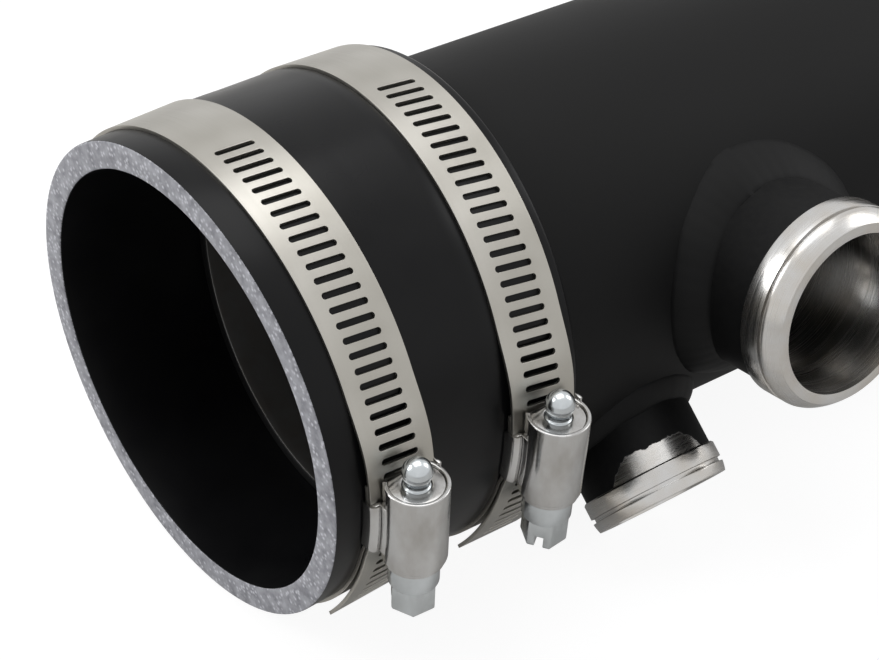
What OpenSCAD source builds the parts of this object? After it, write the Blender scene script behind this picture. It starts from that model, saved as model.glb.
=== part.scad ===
// Cold air intake pipe: a straight coated tube with two machined outlets
// and a short rubber coupler held by two worm-drive hose clamps.
// Along the pipe: x = 0 at the free end, +x towards the coupler's open mouth.
// Angles around the pipe are counted from the top, positive towards +Y.

/* [Main pipe] */
// Outside diameter of the pipe
pipe_d = 76; // [75:0.5:84]
// Wall of the pipe
pipe_wall = 2; // [1.5:0.1:2.8]
// Length of the pipe
pipe_len = 200; // [185:1:320]
// Roundness left on the cut ends of the pipe
pipe_edge = 0.4; // [0.1:0.1:0.6]
// Thickness of the powder coat
coat_t = 0.1; // [0.05:0.05:0.15]
// Length of the bare hose seat at the free end
seat_len = 45; // [30:1:60]
// Length over which the coat's edge thins out towards the bare seat
coat_edge = 2; // [1:0.5:4]
// Radial margin of the pipe's holes round the outlets' bores
hole_margin = 0.5; // [0.2:0.1:1]

/* [Upper outlet] */
// Distance of the outlet's axis behind the lower outlet's axis
spacing_along = 23.8; // [23.4:0.1:40]
// Angle of the outlet around the pipe
upper_angle = 85; // [75:1:95]
// Outside diameter of the neck
upper_neck_d = 35; // [32:0.2:36]
// Wall of the neck
upper_wall = 2.7; // [2:0.1:3.2]
// Height of the open face above the pipe's surface
upper_height = 21.1; // [17:0.1:30]
// Radial step from the neck out to the machined ring
upper_ring_step = 1; // [0.8:0.1:1.6]
// Width of the machined ring
upper_ring_w = 8.2; // [6:0.1:10]
// Leg of the weld bead round the neck
upper_weld_leg = 4.6; // [3:0.1:5]

/* [Lower outlet] */
// Distance of the outlet's axis from the hose's rear end
lower_gap = 23.2; // [20:0.1:30]
// Distance around the pipe's surface from the upper outlet's axis to the lower one's
spacing_around = 30.5; // [30:0.1:45]
// Outside diameter of the neck
lower_neck_d = 24.8; // [22:0.2:25.6]
// Wall of the neck
lower_wall = 2; // [1.5:0.1:2.6]
// Height of the open face above the pipe's surface
lower_height = 16.2; // [14:0.1:20]
// Radial step from the neck out to the machined ring
lower_ring_step = 0.6; // [0.5:0.1:1.2]
// Width of the machined ring
lower_ring_w = 5.8; // [5:0.1:8]
// Leg of the weld bead round the neck
lower_weld_leg = 2.6; // [2:0.1:3.2]

/* [Ring details] */
// Width of the groove turned round each ring
groove_w = 0.9; // [0.6:0.1:1.4]
// Depth of that groove
groove_depth = 0.6; // [0.3:0.1:0.9]
// Chamfer round the open face of the upper ring
lip_chamfer = 1.9; // [0.6:0.1:2.2]
// Chamfer round the open face of the lower ring
lower_chamfer = 0.4; // [0.2:0.1:0.6]

/* [Coupler hose] */
// Wall of the hose
hose_wall = 4.9; // [4:0.1:6]
// Length of hose pushed over the pipe
hose_overlap = 23.5; // [21:0.5:28]
// Gap along the pipe from the pipe's end to the middle of the hose's bend
bend_gap = 7; // [6:0.5:10]
// Length of hose from the middle of the bend to the open mouth
hose_free = 20.2; // [20:0.1:40]
// Angle by which the free end of the hose hangs off the pipe's line
droop = 3.4; // [1:0.1:5]
// Angle around the pipe towards which the free end hangs
droop_angle = 141; // [100:1:180]

/* [Clamp band] */
// Width of the clamp band
band_w = 12.7; // [12:0.1:14]
// Thickness of the clamp band
band_t = 0.65; // [0.5:0.05:0.8]
// Distance of the rear clamp's middle from the hose's rear end
rear_clamp_inset = 8.6; // [8:0.1:10]
// Gap between the hose's bend and the front clamp
front_clamp_gap = 0.05; // [0.05:0.05:3]
// Angle of the clamp housings around the hose and the pipe
clamp_angle = 96.4; // [88:0.5:105]
// Spacing of the slots along the band
slot_pitch = 2.54; // [2.4:0.02:2.8]
// Width of a slot
slot_w = 1.1; // [0.9:0.05:1.3]
// Length of a slot
slot_len = 7; // [6:0.1:8]
// Slant of the slots, the lead of the screw's thread
slot_slant = 6.6; // [4:0.2:8]
// Angle before the front housing at which the slots begin
front_slots_from = 89.6; // [60:0.2:120]
// Angle before the rear housing at which the slots begin
rear_slots_from = 90.6; // [60:0.2:120]
// Angle past the housings at which the bands' tails end
tail_to = 42; // [30:1:50]

/* [Clamp housing] */
// Outside diameter of the housing's barrel
barrel_d = 10.8; // [10.4:0.1:11.2]
// Length of the housing's barrel
barrel_len = 15.8; // [14:0.5:17]
// Sheet of the housing
housing_t = 0.8; // [0.6:0.05:0.9]
// Length of the rolled lip at the head's end of the barrel
barrel_lip = 1; // [0.6:0.1:1.4]
// Sheet of the saddle strap
saddle_t = 0.5; // [0.4:0.05:0.6]
// Arc of the hose that the saddle strap covers
saddle_arc = 12.4; // [10:0.2:14]
// Angle from the middle of the barrel to the middle of the saddle strap
saddle_shift = 1.2; // [0:0.1:2]

/* [Clamp screw] */
// Diameter of the worm under its thread
worm_d = 6.2; // [6:0.1:6.4]
// Diameter of the journal at the rounded tip
tip_d = 4.7; // [4.4:0.1:5]
// Diameter of the journal behind the head
journal_d = 5; // [4.6:0.1:5.2]
// Diameter of the collar between journal and head
collar_d = 8.5; // [8:0.1:8.6]
// Length of the collar
collar_len = 4.6; // [3:0.1:5]
// Length of the rounded tip past the housing
tip_out = 4.7; // [4.5:0.1:6.5]
// Size of the hexagon head across its flats
hex_af = 7; // [6.5:0.1:7.5]
// Length of the hexagon head
hex_len = 5.6; // [4.5:0.1:7]
// Width of the screwdriver slot in the head
drive_slot_w = 1.7; // [1:0.1:2]
// Depth of the screwdriver slot in the head
drive_slot_depth = 2.4; // [1.5:0.1:3]

/* [Fits] */
// Radial running clearance of the screw in its housing
run_clear = 0.05; // [0.02:0.01:0.08]
// Gap between layers of sheet that pass over each other
sheet_gap = 0.05; // [0.03:0.01:0.1]
// Gap beside the band's edges in the saddle
edge_gap = 0.05; // [0.05:0.05:0.2]

/* [Rest] */
// Roll of the pipe as it lies
rest_roll = 4.04; // [0:0.05:10]
// Slope of the pipe's line up towards the coupler as it lies
rest_pitch = 1.82; // [0:0.02:4]

/* [Hidden] */

coat_black = [0.14, 0.14, 0.145];
rubber_black = [0.08, 0.08, 0.085];
bare_aluminium = [0.72, 0.72, 0.70];
band_steel = [0.66, 0.65, 0.62];
zinc_steel = [0.70, 0.71, 0.72];

pipe_r = pipe_d / 2;
body_r = pipe_r + coat_t;
hose_r = body_r + hose_wall;
upper_neck_r = upper_neck_d / 2;
lower_neck_r = lower_neck_d / 2;
upper_bore_r = upper_neck_r - upper_wall;
lower_bore_r = lower_neck_r - lower_wall;
lower_angle = upper_angle + spacing_around / pipe_r * 180 / PI;
lower_x = pipe_len - hose_overlap - lower_gap;
upper_x = lower_x - spacing_along;
bend_x = pipe_len + bend_gap;
hose_rear_x = pipe_len - hose_overlap;
rear_clamp_x = hose_rear_x + rear_clamp_inset;
hose_d = 2 * hose_r;
joint_rim = 0.6 * hose_r * sin(droop);
joint_half = 0.75 * hose_r * sin(droop);
joint_slab = 4.2 * joint_half;
front_clamp_x = bend_x + joint_half + front_clamp_gap + band_w / 2;
cut = 1;

// Radii of the sheets stacked under a housing
fixed_end_r = hose_r + saddle_t;
free_end_r = fixed_end_r + band_t + sheet_gap;
foot_r = free_end_r + band_t + sheet_gap;
foot_top_r = foot_r + housing_t;
curl_top_r = foot_top_r + sheet_gap + saddle_t;
barrel_r = barrel_d / 2;
barrel_in_r = barrel_r - housing_t;
leg_shift = foot_r * sin(saddle_shift);
leg_half = foot_r * sin(saddle_arc / 2);
screw_r = free_end_r + band_t + 2 * sheet_gap + worm_d / 2;
saddle_half_w = band_w / 2 + edge_gap + saddle_t;
curl_corner = 1.2;
tip_r = tip_d / 2;
journal_r = journal_d / 2;

// Angles along the band, counted from the middle of the housing
band_step = 2;
band_start = -9;
fixed_flat_to = 7.5;
fixed_ramp_to = 11.5;
free_ramp_from = 330;
free_flat_from = 348;
free_flat_to = 368.2;
tail_down_to = 371.8;
tail_down = 0.28;
band_end = 360 + tail_to;
tail_lift = 0.0016;
slot_step = slot_pitch / (hose_r + band_t) * 180 / PI;

function smooth(t) = t * t * (3 - 2 * t);
function clamp01(t) = max(0, min(1, t));
function ramp(a, from, to) = smooth(clamp01((a - from) / (to - from)));

// Inner radius of the band at angle a
function band_r(a) =
    a < free_ramp_from
        ? fixed_end_r - (fixed_end_r - hose_r) * ramp(a, fixed_flat_to, fixed_ramp_to)
        : hose_r + (free_end_r - hose_r) * ramp(a, free_ramp_from, free_flat_from)
            - tail_down * ramp(a, free_flat_to, tail_down_to)
            + tail_lift * pow(max(0, a - tail_down_to), 2);

// How far a slot's cut reaches below the band, less where a second layer lies under it
function slot_under(a) = abs(a - 360) < 14 ? sheet_gap / 2 : 0.15;

module around(angle) {
    rotate([-angle, 0, 0]) children();
}

// Turns a drawing in the X-Y plane into one across the pipe, its height along x
module across() {
    rotate([90, 0, 90]) children();
}

module lying() {
    rotate([0, -rest_pitch, 0]) rotate([rest_roll, 0, 0]) children();
}

// Carries what sits on the free end of the hose
module on_free_end() {
    translate([bend_x, 0, 0])
        around(droop_angle)
            rotate([0, -droop, 0])
                around(-droop_angle)
                    translate([-bend_x, 0, 0]) children();
}

module pipe_rod(r, from, to) {
    translate([from, 0, 0]) rotate([0, 90, 0]) cylinder(h = to - from, r = r, $fn = 180);
}

// Main pipe, bare at its free end and coated from there on
module main_pipe() {
    color(coat_black) lying() difference() {
        across() rotate_extrude($fn = 180) pipe_wall_profile();
        translate([upper_x, 0, 0]) around(upper_angle)
            cylinder(h = pipe_d, r = upper_bore_r + hole_margin, $fn = 120);
        translate([lower_x, 0, 0]) around(lower_angle)
            cylinder(h = pipe_d, r = lower_bore_r + hole_margin, $fn = 120);
    }
}

module pipe_wall_profile() {
    polygon([
        [pipe_r - pipe_wall, 0],
        [pipe_r - pipe_edge, 0],
        [pipe_r, pipe_edge],
        [pipe_r, seat_len],
        [body_r, seat_len + coat_edge],
        [body_r, pipe_len - pipe_edge],
        [body_r - pipe_edge, pipe_len],
        [pipe_r - pipe_wall, pipe_len]
    ]);
}

// Machined outlets, their bores opened out to the pipe's holes at the inner end
module outlet(bore_r, neck_r, reach, ring_step, ring_w, chamfer) {
    difference() {
        rotate_extrude($fn = 120)
            outlet_profile(bore_r, neck_r, reach, neck_r + ring_step, ring_w, chamfer);
        pipe_rod_through();
    }
}

module pipe_rod_through() {
    pipe_rod(body_r, -pipe_d, pipe_d);
}

module outlet_profile(bore_r, neck_r, reach, ring_r, ring_w, chamfer) {
    back = reach - ring_w;
    groove_at = back + ring_w * 0.6;
    back_edge = (ring_r - neck_r) / 2;
    relief_r = bore_r + hole_margin;
    relief_to = body_r + hole_margin;
    polygon([
        [relief_r, 0],
        [neck_r, 0],
        [neck_r, back],
        [ring_r - back_edge, back],
        [ring_r, back + back_edge],
        [ring_r, groove_at - groove_w / 2],
        [ring_r - groove_depth, groove_at - groove_w / 2],
        [ring_r - groove_depth, groove_at + groove_w / 2],
        [ring_r, groove_at + groove_w / 2],
        [ring_r, reach - chamfer * 0.55],
        [ring_r - chamfer, reach],
        [bore_r, reach],
        [bore_r, relief_to + hole_margin],
        [relief_r, relief_to]
    ]);
}

module upper_outlet() {
    color(bare_aluminium) lying() translate([upper_x, 0, 0]) around(upper_angle)
        outlet(upper_bore_r, upper_neck_r, pipe_r + upper_height,
            upper_ring_step, upper_ring_w, lip_chamfer);
}

module lower_outlet() {
    color(bare_aluminium) lying() translate([lower_x, 0, 0]) around(lower_angle)
        outlet(lower_bore_r, lower_neck_r, pipe_r + lower_height,
            lower_ring_step, lower_ring_w, lower_chamfer);
}

// Weld beads: a round bead that follows the saddle line where neck meets pipe
weld_rings = 48;
weld_sides = 10;

function weld_point(neck_r, leg, around_neck, around_bead) =
    let (
        bead_r = leg / 1.37,
        sink = bead_r / 2,
        path_r = neck_r + sink,
        rise = sqrt(body_r * body_r - pow(path_r * sin(around_neck), 2)) + sink,
        out = path_r + bead_r * cos(around_bead)
    )
    [out * cos(around_neck), out * sin(around_neck), rise + bead_r * sin(around_bead)];

module weld_bead(neck_r, leg) {
    points = [
        for (i = [0 : weld_rings - 1])
            for (j = [0 : weld_sides - 1])
                weld_point(neck_r, leg, i * 360 / weld_rings, j * 360 / weld_sides)
    ];
    faces = [
        for (i = [0 : weld_rings - 1])
            for (j = [0 : weld_sides - 1])
                let (
                    i2 = (i + 1) % weld_rings,
                    j2 = (j + 1) % weld_sides
                )
                each [
                    [i * weld_sides + j, i * weld_sides + j2, i2 * weld_sides + j2],
                    [i * weld_sides + j, i2 * weld_sides + j2, i2 * weld_sides + j]
                ]
    ];
    difference() {
        polyhedron(points = points, faces = faces);
        pipe_rod_through();
        cylinder(h = pipe_d, r = neck_r, $fn = 120);
    }
}

module upper_weld() {
    color(coat_black) lying() translate([upper_x, 0, 0]) around(upper_angle)
        weld_bead(upper_neck_r, upper_weld_leg);
}

module lower_weld() {
    color(coat_black) lying() translate([lower_x, 0, 0]) around(lower_angle)
        weld_bead(lower_neck_r, lower_weld_leg);
}

// Coupler hose: straight on the pipe, bent a little past its end
module coupler_hose() {
    color(rubber_black) lying() difference() {
        bent_rod(hose_r, 0);
        bent_rod(body_r, cut);
    }
}

// Two straight rods and a ball joint a hair wider than they are
module bent_rod(r, extra) {
    pipe_rod(r, hose_rear_x - extra, bend_x - joint_rim);
    intersection() {
        translate([bend_x, 0, 0]) rotate([0, 90, 0])
            sphere(r = sqrt(r * r + joint_half * joint_half), $fn = 180);
        pipe_rod(hose_d, bend_x - joint_slab, bend_x + joint_slab);
    }
    on_free_end() pipe_rod(r, bend_x + joint_rim, bend_x + hose_free + extra);
}

// Clamp parts, drawn with the housing on top (+Z) and the band round the x axis
function band_point(a, r) = [r * sin(a), r * cos(a)];

module clamp_band(slots_from) {
    slot_count = floor((band_end - 3 - (360 - slots_from)) / slot_step);
    steps = ceil((band_end - band_start) / band_step);
    angles = [for (i = [0 : steps]) band_start + (band_end - band_start) * i / steps];
    outward = 1 / cos((band_end - band_start) / steps / 2);
    color(band_steel) difference() {
        across() linear_extrude(height = band_w, center = true)
            polygon(concat(
                [for (a = angles) band_point(a, band_r(a) * outward)],
                [for (i = [steps : -1 : 0]) band_point(angles[i], band_r(angles[i]) * outward + band_t)]
            ));
        for (i = [0 : slot_count - 1]) band_slot(360 - slots_from + i * slot_step);
    }
}

module band_slot(a) {
    around(a) translate([0, 0, band_r(a) - slot_under(a)])
        rotate([0, 0, -slot_slant])
            linear_extrude(height = band_t + 0.5) union() {
                square([slot_len - slot_w, slot_w], center = true);
                translate([(slot_len - slot_w) / 2, 0]) circle(d = slot_w, $fn = 24);
                translate([-(slot_len - slot_w) / 2, 0]) circle(d = slot_w, $fn = 24);
            }
}

// Strap that passes under the band and curls up over the housing's feet
module clamp_saddle() {
    color(zinc_steel) across() rotate([0, 0, 90 - saddle_shift - saddle_arc / 2])
        rotate_extrude(angle = saddle_arc, $fn = 360) saddle_profile();
}

module saddle_profile() {
    difference() {
        rounded_channel(hose_r, curl_top_r, saddle_half_w, saddle_t, curl_corner);
        rounded_channel(fixed_end_r, curl_top_r - saddle_t, saddle_half_w - saddle_t,
            0, curl_corner - saddle_t);
        translate([foot_r, -barrel_r - edge_gap])
            square([curl_top_r - foot_r + cut, 2 * (barrel_r + edge_gap)]);
    }
}

// Rectangle from radius low to high, its inner and outer corners rounded
module rounded_channel(low, high, half_w, low_corner, high_corner) {
    union() {
        translate([low + low_corner, -half_w])
            square([high - high_corner - low - low_corner, 2 * half_w]);
        translate([low, -half_w + low_corner])
            square([high - high_corner - low, 2 * (half_w - low_corner)]);
        translate([low + low_corner, -half_w + high_corner])
            square([high - low - low_corner, 2 * (half_w - high_corner)]);
        for (side = [-1, 1]) {
            translate([high - high_corner, side * (half_w - high_corner)])
                circle(r = high_corner, $fn = 32);
            if (low_corner > 0)
                translate([low + low_corner, side * (half_w - low_corner)])
                    circle(r = low_corner, $fn = 32);
        }
    }
}

module along_screw(from, to) {
    translate([0, from, screw_r]) rotate([-90, 0, 0]) linear_extrude(height = to - from) children();
}

// Barrel with an end wall at each side, open towards the band
module clamp_housing() {
    half = barrel_len / 2;
    color(zinc_steel) union() {
        along_screw(-half, half) difference() {
            circle(r = barrel_r, $fn = 96);
            circle(r = barrel_in_r, $fn = 96);
            below_feet();
        }
        for (side = [-1, 1])
            along_screw(leg_shift - leg_half, leg_shift + leg_half)
                translate([side > 0 ? barrel_in_r : -barrel_r, 0])
                    square([housing_t, screw_r - foot_r]);
        along_screw(-half, -half + housing_t) end_wall(tip_r);
        along_screw(half - housing_t, half + barrel_lip) end_wall(journal_r);
        for (side = [-1, 1]) housing_foot(side);
    }
}

module end_wall(journal) {
    difference() {
        circle(r = barrel_r - housing_t / 2, $fn = 96);
        circle(r = journal + run_clear, $fn = 64);
        below_feet();
    }
}

module below_feet() {
    translate([-barrel_d, screw_r - foot_r]) square([2 * barrel_d, barrel_d]);
}

// Flat foot that lies on the band beside the barrel
module housing_foot(side) {
    foot_from = barrel_r - housing_t / 2;
    foot_to = saddle_half_w - saddle_t - sheet_gap;
    foot_corner = curl_corner - saddle_t - sheet_gap;
    across() rotate([0, 0, 90 - saddle_shift - saddle_arc / 2]) rotate_extrude(angle = saddle_arc, $fn = 360)
        mirror([0, side > 0 ? 0 : 1]) intersection() {
            translate([foot_r, foot_from]) square([housing_t, foot_to - foot_from]);
            union() {
                translate([foot_r, foot_from]) square([housing_t, foot_to - foot_corner - foot_from]);
                translate([foot_r, foot_from]) square([housing_t - foot_corner, foot_to - foot_from]);
                translate([foot_r + housing_t - foot_corner, foot_to - foot_corner])
                    circle(r = foot_corner, $fn = 32);
            }
        }
}

module clamp_screw() {
    half = barrel_len / 2;
    collar_at = half + barrel_lip + sheet_gap;
    head_at = collar_at + collar_len;
    color(zinc_steel) translate([0, 0, screw_r]) rotate([-90, 0, 0]) difference() {
        union() {
            translate([0, 0, -half + housing_t + sheet_gap])
                cylinder(h = barrel_len - 2 * (housing_t + sheet_gap), d = worm_d, $fn = 96);
            translate([0, 0, -half - tip_out + tip_r])
                cylinder(h = tip_out - tip_r + housing_t + cut, r = tip_r, $fn = 64);
            translate([0, 0, -half - tip_out + tip_r]) sphere(r = tip_r, $fn = 64);
            translate([0, 0, half - housing_t - cut])
                cylinder(h = collar_at - half + housing_t + 2 * cut, r = journal_r, $fn = 96);
            translate([0, 0, collar_at]) cylinder(h = collar_len, d = collar_d, $fn = 96);
            translate([0, 0, head_at]) hexagon_head();
        }
        translate([-hex_af, -drive_slot_w / 2, head_at + hex_len - drive_slot_depth])
            cube([2 * hex_af, drive_slot_w, drive_slot_depth + cut]);
    }
}

module hexagon_head() {
    corner_r = hex_af / sqrt(3);
    intersection() {
        cylinder(h = hex_len, r = corner_r, $fn = 6);
        union() {
            cylinder(h = hex_len - 1, r = corner_r, $fn = 96);
            translate([0, 0, hex_len - 1]) cylinder(h = 1, r1 = corner_r, r2 = hex_af / 2, $fn = 96);
        }
    }
}

module at_front_clamp() {
    lying() on_free_end() translate([front_clamp_x, 0, 0]) around(clamp_angle) children();
}

module at_rear_clamp() {
    lying() translate([rear_clamp_x, 0, 0]) around(clamp_angle) children();
}

module front_clamp_band() at_front_clamp() clamp_band(front_slots_from);
module front_clamp_saddle() at_front_clamp() clamp_saddle();
module front_clamp_housing() at_front_clamp() clamp_housing();
module front_clamp_screw() at_front_clamp() clamp_screw();
module rear_clamp_band() at_rear_clamp() clamp_band(rear_slots_from);
module rear_clamp_saddle() at_rear_clamp() clamp_saddle();
module rear_clamp_housing() at_rear_clamp() clamp_housing();
module rear_clamp_screw() at_rear_clamp() clamp_screw();

main_pipe();
upper_outlet();
upper_weld();
lower_outlet();
lower_weld();
coupler_hose();
front_clamp_band();
front_clamp_saddle();
front_clamp_housing();
front_clamp_screw();
rear_clamp_band();
rear_clamp_saddle();
rear_clamp_housing();
rear_clamp_screw();
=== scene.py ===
import math

import bmesh
import bpy
from mathutils import Matrix, Vector, noise

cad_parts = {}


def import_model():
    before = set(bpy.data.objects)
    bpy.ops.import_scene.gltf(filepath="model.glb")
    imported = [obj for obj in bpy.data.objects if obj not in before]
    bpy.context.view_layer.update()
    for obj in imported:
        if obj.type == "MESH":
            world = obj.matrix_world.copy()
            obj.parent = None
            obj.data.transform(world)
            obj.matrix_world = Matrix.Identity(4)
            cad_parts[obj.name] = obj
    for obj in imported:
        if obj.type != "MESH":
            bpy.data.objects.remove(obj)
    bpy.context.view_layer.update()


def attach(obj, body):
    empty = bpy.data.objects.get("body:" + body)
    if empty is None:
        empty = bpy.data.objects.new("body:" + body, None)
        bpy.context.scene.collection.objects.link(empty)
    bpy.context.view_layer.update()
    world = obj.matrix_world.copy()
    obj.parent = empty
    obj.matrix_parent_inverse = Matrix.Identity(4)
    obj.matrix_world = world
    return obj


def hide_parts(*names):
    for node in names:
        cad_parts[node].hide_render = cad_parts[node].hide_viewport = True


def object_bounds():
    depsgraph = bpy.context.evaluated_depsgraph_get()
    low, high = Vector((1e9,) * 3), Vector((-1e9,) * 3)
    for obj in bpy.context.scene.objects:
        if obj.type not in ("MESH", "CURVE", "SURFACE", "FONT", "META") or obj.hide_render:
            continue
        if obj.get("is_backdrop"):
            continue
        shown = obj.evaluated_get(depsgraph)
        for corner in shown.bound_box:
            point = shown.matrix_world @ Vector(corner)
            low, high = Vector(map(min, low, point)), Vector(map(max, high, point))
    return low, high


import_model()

mm = 0.001


# Where things are. The pipe's own frame has x along the pipe, 0 at its free end.
layout = {
    "roll": math.radians(4.04),        # how the pipe lies on the floor
    "pitch": math.radians(1.82),
    "bendX": 207 * mm,                 # where the hose starts to hang
    "droop": math.radians(3.4),
    "droopAngle": math.radians(141),
    "clampAngle": math.radians(96.4),  # from the top, towards the outlets
    "frontClampX": 215.31 * mm,
    "rearClampX": 185.1 * mm,
    "upperX": 129.5 * mm,
    "upperAngle": math.radians(85),
    "lowerX": 153.3 * mm,
    "lowerAngle": math.radians(130.99),
    "screwZ": 48.05 * mm,              # from the hose's axis to a clamp's screw
}


def alongPipe(x):
    return Matrix.Translation((x, 0, 0))


def around(angle):
    return Matrix.Rotation(-angle, 4, "X")


lying = Matrix.Rotation(-layout["pitch"], 4, "Y") @ Matrix.Rotation(layout["roll"], 4, "X")
hanging = (
    alongPipe(layout["bendX"])
    @ around(layout["droopAngle"])
    @ Matrix.Rotation(-layout["droop"], 4, "Y")
    @ around(-layout["droopAngle"])
    @ alongPipe(-layout["bendX"])
)
atFrontClamp = lying @ hanging @ alongPipe(layout["frontClampX"]) @ around(layout["clampAngle"])
atRearClamp = lying @ alongPipe(layout["rearClampX"]) @ around(layout["clampAngle"])
atUpperOutlet = lying @ alongPipe(layout["upperX"]) @ around(layout["upperAngle"])
atLowerOutlet = lying @ alongPipe(layout["lowerX"]) @ around(layout["lowerAngle"])
zToX = Matrix.Rotation(math.radians(90), 4, "Y")
zToScrew = Matrix.Rotation(math.radians(-90), 4, "X")   # a turned piece's z runs along a clamp's screw


# Working by selection, as by hand
def objectMode():
    if bpy.context.object and bpy.context.object.mode != "OBJECT":
        bpy.ops.object.mode_set(mode="OBJECT")


def only(*objects):
    objectMode()
    bpy.ops.object.select_all(action="DESELECT")
    for obj in objects:
        obj.select_set(True)
        bpy.context.view_layer.objects.active = obj


def editMode(obj, what="VERT", chosen="SELECT"):
    only(obj)
    bpy.ops.object.mode_set(mode="EDIT")
    bpy.ops.mesh.select_mode(type=what)
    bpy.ops.mesh.select_all(action=chosen)


def pickVerts(obj, test):
    editMode(obj, "VERT", "DESELECT")
    mesh = bmesh.from_edit_mesh(obj.data)
    for vert in mesh.verts:
        if test(vert.co):
            vert.select = True
    mesh.select_flush(True)
    bmesh.update_edit_mesh(obj.data)


def pickEdges(obj, test):
    editMode(obj, "EDGE", "DESELECT")
    mesh = bmesh.from_edit_mesh(obj.data)
    for edge in mesh.edges:
        if test(edge.verts[0].co, edge.verts[1].co):
            edge.select = True
    mesh.select_flush(True)
    bmesh.update_edit_mesh(obj.data)


def pickFaces(obj, test):
    editMode(obj, "FACE", "DESELECT")
    mesh = bmesh.from_edit_mesh(obj.data)
    for face in mesh.faces:
        if test(face.calc_center_median(), face.normal):
            face.select = True
    bmesh.update_edit_mesh(obj.data)


def tidy(obj):
    editMode(obj)
    bpy.ops.mesh.remove_doubles(threshold=0.002 * mm)
    bpy.ops.mesh.select_all(action="SELECT")
    bpy.ops.mesh.normals_make_consistent(inside=False)
    objectMode()


def modify(obj, kind, **settings):
    only(obj)
    modifier = obj.modifiers.new(kind.title(), kind)
    for name, value in settings.items():
        setattr(modifier, name, value)
    bpy.ops.object.modifier_apply(modifier=modifier.name)


def bevel(obj, width, segments=2, angle=35):
    modify(obj, "BEVEL", width=width, segments=segments, limit_method="ANGLE",
           angle_limit=math.radians(angle), use_clamp_overlap=True)


def smooth(obj, angle=32):
    only(obj)
    bpy.ops.object.shade_smooth_by_angle(angle=math.radians(angle))


def place(obj, matrix):
    only(obj)
    obj.matrix_world = matrix @ obj.matrix_world
    bpy.ops.object.transform_apply(location=True, rotation=True, scale=True)
    return obj


def cutAway(obj, cutter):
    modify(obj, "BOOLEAN", object=cutter, operation="DIFFERENCE", solver="EXACT")
    bpy.data.objects.remove(cutter)


def joined(name, *objects):
    only(*objects)
    bpy.context.view_layer.objects.active = objects[0]
    bpy.ops.object.join()
    objects[0].name = name
    return objects[0]


# A round piece: a ring is extruded up and scaled, step by step. Steps are radius, height.
def turned(name, steps, sides=96):
    objectMode()
    bpy.ops.object.select_all(action="DESELECT")
    radius, height = steps[0]
    bpy.ops.mesh.primitive_circle_add(vertices=sides, radius=radius, location=(0, 0, height))
    obj = bpy.context.object
    obj.name = name
    bpy.ops.object.transform_apply(location=True)
    editMode(obj)
    for nextRadius, nextHeight in steps[1:]:
        bpy.ops.mesh.extrude_region_move(
            TRANSFORM_OT_translate={"value": (0, 0, nextHeight - height)})
        ratio = nextRadius / radius
        bpy.ops.transform.resize(value=(ratio, ratio, 1), center_override=(0, 0, nextHeight))
        radius, height = nextRadius, nextHeight
    tidy(obj)
    return obj


def finished(obj, body, slotName, material, *nodes):
    obj.data.materials.clear()
    obj.data.materials.append(material)
    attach(obj, body)
    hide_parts(*nodes)
    return obj


# Materials
def newMaterial(name):
    material = bpy.data.materials.new(name)
    material.use_nodes = True
    tree = material.node_tree
    shader = tree.nodes["Principled BSDF"]
    return material, tree, shader


def addNode(tree, kind, inputs=None, **settings):
    node = tree.nodes.new(kind)
    for name, value in settings.items():
        setattr(node, name, value)
    for name, value in (inputs or {}).items():
        if isinstance(value, bpy.types.NodeSocket):
            tree.links.new(value, node.inputs[name])
        else:
            node.inputs[name].default_value = value
    return node


# Object coordinates seen from a piece's own frame, so that a pattern follows the piece
def ownCoordinates(tree, matrix):
    inverse = matrix.inverted()
    coordinates = addNode(tree, "ShaderNodeTexCoord")
    mapping = addNode(tree, "ShaderNodeMapping", {
        "Vector": coordinates.outputs["Object"],
        "Location": inverse.translation,
        "Rotation": inverse.to_euler(),
    })
    return mapping.outputs["Vector"]


def speckle(tree, vector, scale, detail=3, roughness=0.55):
    node = addNode(tree, "ShaderNodeTexNoise", {
        "Vector": vector, "Scale": scale, "Detail": detail, "Roughness": roughness})
    return node.outputs["Fac"]


def ramp(tree, value, *stops):
    node = addNode(tree, "ShaderNodeValToRGB", {"Fac": value})
    while len(node.color_ramp.elements) < len(stops):
        node.color_ramp.elements.new(0.5)
    for element, (position, colour) in zip(node.color_ramp.elements, stops):
        element.position = position
        if not isinstance(colour, tuple):
            colour = (colour, colour, colour)
        element.color = (*colour, 1)
    return node.outputs["Color"]


# A point's parts in the piece's own frame, and its distance from the z axis
def fromAxis(tree, vector):
    split = addNode(tree, "ShaderNodeSeparateXYZ", {"Vector": vector})
    flat = addNode(tree, "ShaderNodeCombineXYZ", {"X": split.outputs["X"], "Y": split.outputs["Y"]})
    radius = addNode(tree, "ShaderNodeVectorMath", {0: flat.outputs["Vector"]}, operation="LENGTH")
    return split, radius.outputs["Value"]


def bumped(tree, shader, height, strength, distance):
    node = addNode(tree, "ShaderNodeBump", {
        "Height": height, "Strength": strength, "Distance": distance})
    tree.links.new(node.outputs["Normal"], shader.inputs["Normal"])


def stretched(tree, vector, scale):
    node = addNode(tree, "ShaderNodeMapping", {"Vector": vector, "Scale": scale})
    return node.outputs["Vector"]


coatLook = {
    "dark": (0.005, 0.005, 0.0053),
    "light": (0.008, 0.008, 0.008),
    "roughness": 0.55,
    "specular": 0.13,
    "grain": 900,
    "patches": 22,
    "spread": 0.05,       # of the roughness
    "bump": 0.35,
    "depth": 0.02 * mm,
}


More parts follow.
